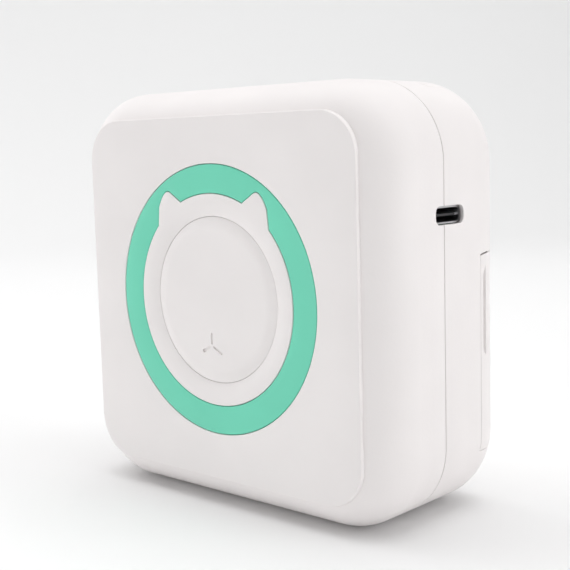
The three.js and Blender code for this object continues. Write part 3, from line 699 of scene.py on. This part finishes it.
def paper_door():
    """The door: the back of the bowl, with side tabs, hinge barrels, ribs and the platen's arms."""
    wide, lip = DOOR["half_width"], DOOR["lip"]
    inner, outer = HINGE_EAR - 1.3, HINGE_EAR + 1.3
    region = block("region", (-wide, wide), (lip, BEHIND), (HINGE[1], ABOVE))
    carve(region, "UNION", *mirrored(lambda side: tab_space(side, 0)))
    door = carve(rear_form(), "INTERSECT", region)
    door.name = "paper_door_form"
    seat = (middle(rubber_box, 1), middle(rubber_box, 2))
    arm = [(38, 66), (38, 75)] + arc(seat, 4.3, 80, 255, 40)
    extra = [
        hinge_rod("barrel", BARREL, -inner, inner),
        hinge_rod("barrel", BARREL, outer, wide),
        hinge_rod("barrel", BARREL, -wide, -outer),
        prism("arm", arm, 26.3, 28.3),
        prism("arm", arm, -28.3, -26.3),
    ]
    extra += [block("rib", (x - 0.6, x + 0.6), (35.4, 37.4), (38, 66)) for x in (-18, -6, 6, 18)]
    carve(door, "UNION", *extra)
    carve(door, "INTERSECT", case_solid())
    clear = BARREL + HINGE_CLEARANCE
    return carve(
        door,
        "DIFFERENCE",
        hinge_rod("knuckle", clear, inner, outer),
        hinge_rod("knuckle", clear, -outer, -inner),
        hinge_rod("pin_way", PIN_RADIUS + 0.2, 21, 26.5, 32),
        hinge_rod("pin_way", PIN_RADIUS + 0.2, -26.5, -21, 32),
        rod("seat", "x", (0, *seat), 3, 60, 64),
        finger_scoop(1),
        finger_scoop(-1),
    )


def ring_insert():
    """The mint ring, its inner edge following the two ears, with softened front edges."""
    front, back = ring_box[0][1], ring_box[1][1]
    soft = RING_SOFT
    outer = RING_OUTER - RING_GAP
    loops = [face_loop(cat_reaches(RING_GAP), back)]
    for turn in quarter(4):
        reaches = cat_reaches(RING_GAP + soft - soft * math.cos(turn))
        loops.append(face_loop(reaches, front + soft - soft * math.sin(turn)))
    for turn in quarter(4):
        radius = outer - soft + soft * math.sin(turn)
        loops.append(circle_loop(radius, front + soft - soft * math.cos(turn)))
    loops.append(circle_loop(outer, back))
    return loft("ring_form", loops, capped=False)


def key_depth(radius):
    """Depth of the key's face: nearly flat, then bending to a steady slope down to its edge."""
    bend, steady = KEY_BEND
    slope = (KEY_EDGE - FACE_DEPTH) / (KEY_RADIUS - (bend + steady) / 2)
    run = min(max(radius - bend, 0), steady - bend)
    return FACE_DEPTH + slope * (run * run / (2 * (steady - bend)) + max(radius - steady, 0))


def power_key():
    """The round key: nearly flat, rolling off at its rim, with a small mouth cut into its face."""
    radii = [0, 2, 5, 8, 10.6, 12.4]
    radii += [KEY_BEND[0] + 0.125 * k for k in range(13)]
    radii += [15.6, 16.0, KEY_RADIUS - 0.05]
    profile = [(r, key_depth(r)) for r in radii]
    back = key_box[1][1]
    profile += [
        (KEY_RADIUS, KEY_EDGE + 0.05), (KEY_RADIUS, back - 1.4), (KEY_FLANGE, back - 1.4),
        (KEY_FLANGE, back - 0.4), (2.4, back - 0.4), (2.4, back), (0, back),
    ]
    key = turned("power_key_form", "y", (0, 0, CENTRE), profile, 320)
    return carve(key, "DIFFERENCE", *[groove_cutter(*arm) for arm in MOUTH_ARMS])


def groove_cutter(degrees, start, end, radius):
    """A round-ended bar that lies in the key's face, between two reaches from the mouth's middle."""
    profile = [(radius * math.sin(a), start - radius * math.cos(a)) for a in quarter(6)]
    profile += [(radius * math.cos(a), end + radius * math.sin(a)) for a in quarter(6)]
    profile[0], profile[-1] = (0, start - radius), (0, end + radius)
    bar = turned("groove", "z", (0, 0, 0), profile, 24, sharp=60)
    spin = Matrix.Rotation(math.radians(90 - degrees), 4, "Y")
    home = Matrix.Translation(row(MOUTH[0], FACE_DEPTH + 0.06, CENTRE + MOUTH[1]))
    bar.data.transform(home @ spin @ Matrix.Translation(-Vector(row(0, 0, 0))))
    return bar


def usb_port_shell():
    """The charging port's sheet-metal shell, open towards the side of the case."""
    depth, height = middle(usb_box, 1), middle(usb_box, 2)
    length, rise = half(usb_box, 1), half(usb_box, 2)
    x0, x1 = usb_box[0][0], usb_box[1][0]
    outside = prism("usb_form", rounded_slot(depth, height, length, rise, USB_CORNER), x0, x1)
    inner = rounded_slot(depth, height, length - USB_SHEET, rise - USB_SHEET, USB_CORNER - USB_SHEET)
    carve(outside, "DIFFERENCE", prism("usb_room", inner, x0 + USB_SHEET, x1 + 1))
    reach = half(tongue_box, 1) + 0.06

    def latch(side):
        span = sorted((depth + side * reach, depth + side * (length - 0.1)))
        return block("latch", (x0 + 2, x1 - 0.5), span, (height - 0.2, height + 0.2))

    return carve(outside, "UNION", *mirrored(latch))


def usb_port_tongue():
    """The port's contact tongue, thinner towards its tip."""
    depth, height = middle(tongue_box, 1), middle(tongue_box, 2)
    x0, x1 = tongue_box[0][0], tongue_box[1][0]
    base = rounded_slot(depth, height, half(tongue_box, 1), half(tongue_box, 2), 0.12, 4)
    tip = rounded_slot(depth, height, half(tongue_box, 1), 0.2, 0.12, 4)
    stations = [(x0, base), (x0 + 1.6, base), (x0 + 1.9, tip), (x1, tip)]
    return loft("tongue_form", [[(x, d, z) for d, z in outline] for x, outline in stations], capped=True)


def round_bar(node, axis, soft):
    """A plain round pin or shaft that fills its node's box, its rims softened."""
    box = box_mm(node)
    place = tuple(middle(box, k) for k in range(3))
    long_axis = {"x": 0, "y": 1}[axis]
    radius = max(half(box, k) for k in range(3) if k != long_axis)
    return rod(node + "_form", axis, place, radius, 2 * half(box, long_axis), 96, soft)


def round_tube(node, inner, soft, clear=0.0):
    """A tube along X round a bore, as wide as its node's box less a clearance."""
    box = box_mm(node)
    place = tuple(middle(box, k) for k in range(3))
    return tube(node + "_form", "x", place, half(box, 2) - clear, inner, 2 * half(box, 0), 160, soft)


def pan_screw(node, shank):
    """A screw with its head towards the back, a rounded rim and a cross recess."""
    box = box_mm(node)
    x, z = middle(box, 0), middle(box, 2)
    head, length = half(box, 0), 2 * half(box, 1)
    seat = length - SCREW_HEAD
    profile = [
        (0, 0), (0.4, 0), (shank, 0.9), (shank, seat), (head, seat), (head, length - 0.45),
        (head - 0.08, length - 0.24), (head - 0.28, length - 0.08), (head - 0.6, length), (0, length),
    ]
    screw = turned(node + "_form", "y", (x, box[0][1], z), profile, 48)
    back = box[1][1]
    slots = [
        block("slot", (x - a, x + a), (back - 0.5, back + 1), (z - b, z + b))
        for a, b in ((1.05, 0.2), (0.2, 1.05))
    ]
    return carve(screw, "DIFFERENCE", *slots)


# ---- Materials -------------------------------------------------------------------------------------


class Finish:
    """A Principled material and short ways to add procedural nodes to it."""

    def __init__(self, name, roughness, metallic=0.0, specular=0.5):
        self.material = bpy.data.materials.new(name)
        self.material.use_nodes = True
        self.tree = self.material.node_tree
        self.shader = self.tree.nodes["Principled BSDF"]
        self.shader.inputs["Roughness"].default_value = roughness
        self.shader.inputs["Metallic"].default_value = metallic
        self.shader.inputs["Specular IOR Level"].default_value = specular
        self.place = self.tree.nodes.new("ShaderNodeTexCoord").outputs["Object"]

    def link(self, source, target):
        self.tree.links.new(source, target)

    def noise(self, scale, detail=3.0, stretch=(1, 1, 1)):
        source = self.place
        if stretch != (1, 1, 1):
            mapping = self.tree.nodes.new("ShaderNodeMapping")
            mapping.inputs["Scale"].default_value = stretch
            self.link(source, mapping.inputs["Vector"])
            source = mapping.outputs["Vector"]
        node = self.tree.nodes.new("ShaderNodeTexNoise")
        node.inputs["Scale"].default_value = scale
        node.inputs["Detail"].default_value = detail
        self.link(source, node.inputs["Vector"])
        return node.outputs["Fac"]

    def colour(self, factor, dark, light, low=0.35, high=0.65):
        ramp = self.tree.nodes.new("ShaderNodeValToRGB")
        for element, spot, tint in zip(ramp.color_ramp.elements, (low, high), (dark, light)):
            element.position = spot
            element.color = (*tint, 1)
        self.link(factor, ramp.inputs["Fac"])
        self.link(ramp.outputs["Color"], self.shader.inputs["Base Color"])

    def rough(self, factor, low, high):
        spread = self.tree.nodes.new("ShaderNodeMapRange")
        spread.inputs["To Min"].default_value = low
        spread.inputs["To Max"].default_value = high
        self.link(factor, spread.inputs["Value"])
        self.link(spread.outputs["Result"], self.shader.inputs["Roughness"])

    def bump(self, height, distance, strength=1.0):
        node = self.tree.nodes.new("ShaderNodeBump")
        node.inputs["Distance"].default_value = distance
        node.inputs["Strength"].default_value = strength
        self.link(height, node.inputs["Height"])
        self.link(node.outputs["Normal"], self.shader.inputs["Normal"])


def grained(name, tint, roughness, grain=1500.0, depth=0.000012, spread=0.012, metallic=0.0):
    """A moulded or cast surface: a faint tint drift, a fine grain and uneven gloss."""
    finish = Finish(name, roughness, metallic)
    dark = tuple(c * (1 - spread) for c in tint)
    light = tuple(min(1, c * (1 + spread)) for c in tint)
    finish.colour(finish.noise(60, 2), dark, light)
    fine = finish.noise(grain, 2)
    finish.rough(fine, roughness - 0.05, roughness + 0.05)
    finish.bump(fine, depth)
    return finish.material


def brushed(name, tint, roughness, stretch=(1, 30, 30), metallic=1.0):
    """Metal with fine drawing lines along one way."""
    finish = Finish(name, roughness, metallic)
    lines = finish.noise(160, 3, stretch)
    finish.colour(lines, tuple(c * 0.88 for c in tint), tint)
    finish.rough(lines, roughness - 0.08, roughness + 0.08)
    finish.bump(lines, 0.000004)
    return finish.material


MATERIALS = {
    "case_plastic": grained("case_plastic", (0.86, 0.825, 0.82), 0.52),
    "key_plastic": grained("key_plastic", (0.86, 0.825, 0.82), 0.5),
    "mint_plastic": grained("mint_plastic", (0.155, 0.69, 0.49), 0.36, 900, 0.000006, 0.02),
    "dark_plastic": grained("dark_plastic", (0.022, 0.023, 0.026), 0.5),
    "grey_plastic": grained("grey_plastic", (0.21, 0.22, 0.235), 0.58),
    "gear_plastic": grained("gear_plastic", (0.78, 0.75, 0.66), 0.45),
    "steel": brushed("steel", (0.6, 0.6, 0.61), 0.3),
    "aluminium": brushed("aluminium", (0.7, 0.71, 0.72), 0.38),
    "brass": brushed("brass", (0.66, 0.47, 0.16), 0.34),
    "circuit_board": grained("circuit_board", (0.016, 0.13, 0.045), 0.42, 700, 0.00001, 0.15),
    "flex": grained("flex", (0.46, 0.2, 0.035), 0.4, 500, 0.000005, 0.1),
    "rubber": grained("rubber", (0.014, 0.014, 0.015), 0.8),
    "ceramic": grained("ceramic", (0.74, 0.71, 0.64), 0.22, 600, 0.000003),
    "cell_pouch": grained("cell_pouch", (0.5, 0.52, 0.54), 0.36, 120, 0.00004, 0.04, 0.7),
    "red_wire": grained("red_wire", (0.5, 0.018, 0.012), 0.42),
    "black_wire": grained("black_wire", (0.012, 0.012, 0.013), 0.42),
    "paper": grained("paper", (0.86, 0.85, 0.82), 0.88, 2500, 0.00001),
    "card": grained("card", (0.42, 0.26, 0.12), 0.9, 900, 0.00003, 0.08),
    "lamp": grained("lamp", (0.85, 0.83, 0.72), 0.2),
}


# ---- Pieces that stand for CAD nodes ---------------------------------------------------------------


def present(thing, node, slot_name):
    """A finished piece: it rides with its node's body and stands for that node."""
    thing.data.materials.clear()
    thing.data.materials.append(MATERIALS[slot_name])
    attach(thing, body_of(nodes[node])[0])
    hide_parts(node)
    return thing


slot_of = {part["node"]: part["material_slot"] for part in frame["record"]["subparts"]}
ROUND_BARS = [
    ("platen_shaft", "x", 0.25), ("hinge_pin_left", "x", 0.15), ("hinge_pin_right", "x", 0.15),
    ("idler_gear_pin", "x", 0.12), ("compound_gear_pin", "x", 0.12), ("head_pivot_pin", "x", 0.2),
    ("switch_plunger", "y", 0.2),
]

present(front_shell(), "front_shell", "case_plastic")
present(rear_shell(), "rear_shell", "case_plastic")
present(paper_door(), "paper_door", "case_plastic")
present(ring_insert(), "ring_insert", "mint_plastic")
present(power_key(), "power_key", "key_plastic")
present(usb_port_shell(), "usb_port_shell", slot_of["usb_port_shell"])
present(usb_port_tongue(), "usb_port_tongue", slot_of["usb_port_tongue"])
core_radius, shaft_radius = half(core_box, 2), half(shaft_box, 2)
round_tubes = {
    "paper_roll": (core_radius + BORE_CLEARANCE, 0.15, ROLL_CLEARANCE),
    "roll_core": (core_radius - CORE_WALL, 0.1),
    "platen_rubber": (shaft_radius + BORE_CLEARANCE, 0.35),
}
for name, sizes in round_tubes.items():
    present(round_tube(name, *sizes), name, slot_of[name])
for pin, way, soft in ROUND_BARS:
    present(round_bar(pin, way, soft), pin, slot_of[pin])
for k in range(1, 5):
    for screw_name, shank in ((f"case_screw_{k}", 1.2), (f"mechanism_screw_{k}", 1.1)):
        present(pan_screw(screw_name, shank), screw_name, slot_of[screw_name])

# ---- The other CAD nodes ---------------------------------------------------------------------------

for name, thing in nodes.items():
    slot_name = slot_of.get(name, "grey_plastic")
    thing.data.materials.clear()
    thing.data.materials.append(MATERIALS.get(slot_name, MATERIALS["grey_plastic"]))

# ---- Stage, light and camera -----------------------------------------------------------------------

scene = bpy.context.scene
scene.view_settings.view_transform = "Standard"


def plain_material(name, tint, roughness):
    finish = Finish(name, roughness, 0.0, 0.3)
    finish.colour(finish.noise(3, 1), tuple(c * 0.995 for c in tint), tint)
    return finish.material


def sweep():
    """A floor that curves up into a back wall, square to the camera's heading."""
    reach, radius, rise, wide = 0.55, 0.5, 1.6, 4.0
    profile = [(-5.0, 0.0), (reach, 0.0)]
    for k in range(1, 25):
        turn = math.pi / 2 * k / 24
        profile.append((reach + radius * math.sin(turn), radius * (1 - math.cos(turn))))
    profile.append((reach + radius, rise))
    points, faces = [], []
    for away, up in profile:
        for side in (-wide, wide):
            points.append(Matrix.Rotation(math.radians(CAMERA_YAW), 3, "Z") @ Vector((side, away, up)))
    for k in range(len(profile) - 1):
        faces.append((2 * k, 2 * k + 1, 2 * k + 3, 2 * k + 2))
    mesh = bpy.data.meshes.new("sweep")
    mesh.from_pydata(points, [], faces)
    mesh.shade_smooth()
    thing = bpy.data.objects.new("sweep", mesh)
    scene.collection.objects.link(thing)
    thing.data.materials.append(plain_material("paper_sweep", (0.885, 0.885, 0.885), 0.9))


def soft_light(name, place, size, power, tint=(1, 1, 1)):
    """An area light that faces the middle of the object."""
    light = bpy.data.lights.new(name, "AREA")
    light.shape = "RECTANGLE"
    light.size, light.size_y = size
    light.energy = power
    light.color = tint
    thing = bpy.data.objects.new(name, light)
    scene.collection.objects.link(thing)
    target = Vector((0, 0, 0.04))
    thing.location = place
    thing.rotation_euler = (target - Vector(place)).to_track_quat("-Z", "Y").to_euler()


CAMERA_PLACE = (0.15319, -0.16586, 0.07041)
CAMERA_YAW, CAMERA_PITCH, CAMERA_ROLL = 42.5, -7.1, -1.55
CAMERA_LENS = 69.56

sweep()
LIGHTS = {
    "top": ((0.0, 0.0, 1.0), (1.0, 1.0), 6.97),
    "top_back": ((0.0, 0.7, 0.8), (0.8, 0.8), 1.07),
    "top_left": ((-0.7, -0.1, 0.8), (0.8, 0.8), 2.58),
    "top_right": ((0.7, 0.1, 0.8), (0.8, 0.8), 2.15),
    "left": ((-1.0, -0.15, 0.25), (0.7, 0.7), 1.87),
    "left_front": ((-0.8, -0.75, 0.25), (0.7, 0.7), 1.18),
    "right": ((1.0, 0.4, 0.25), (0.7, 0.7), 2.69),
    "right_back": ((0.6, 0.9, 0.3), (0.7, 0.7), 0.65),
    "low_front": ((-0.1, -0.9, 0.09), (0.6, 0.16), 2.0),
    "low_right": ((0.95, 0.2, 0.09), (0.6, 0.16), 1.27),
}
for light_name, (place, size, power) in LIGHTS.items():
    soft_light(light_name, place, size, power)

world = bpy.data.worlds.new("studio")
world.use_nodes = True
world.node_tree.nodes["Background"].inputs["Color"].default_value = (1, 1, 1, 1)
world.node_tree.nodes["Background"].inputs["Strength"].default_value = 0.067
scene.world = world

camera_data = bpy.data.cameras.new("camera")
camera_data.sensor_width = 36
camera_data.lens = CAMERA_LENS
camera = bpy.data.objects.new("camera", camera_data)
scene.collection.objects.link(camera)
camera.matrix_world = (
    Matrix.Translation(CAMERA_PLACE)
    @ Matrix.Rotation(math.radians(CAMERA_YAW), 4, "Z")
    @ Matrix.Rotation(math.radians(90 + CAMERA_PITCH), 4, "X")
    @ Matrix.Rotation(math.radians(CAMERA_ROLL), 4, "Z")
)
scene.camera = camera
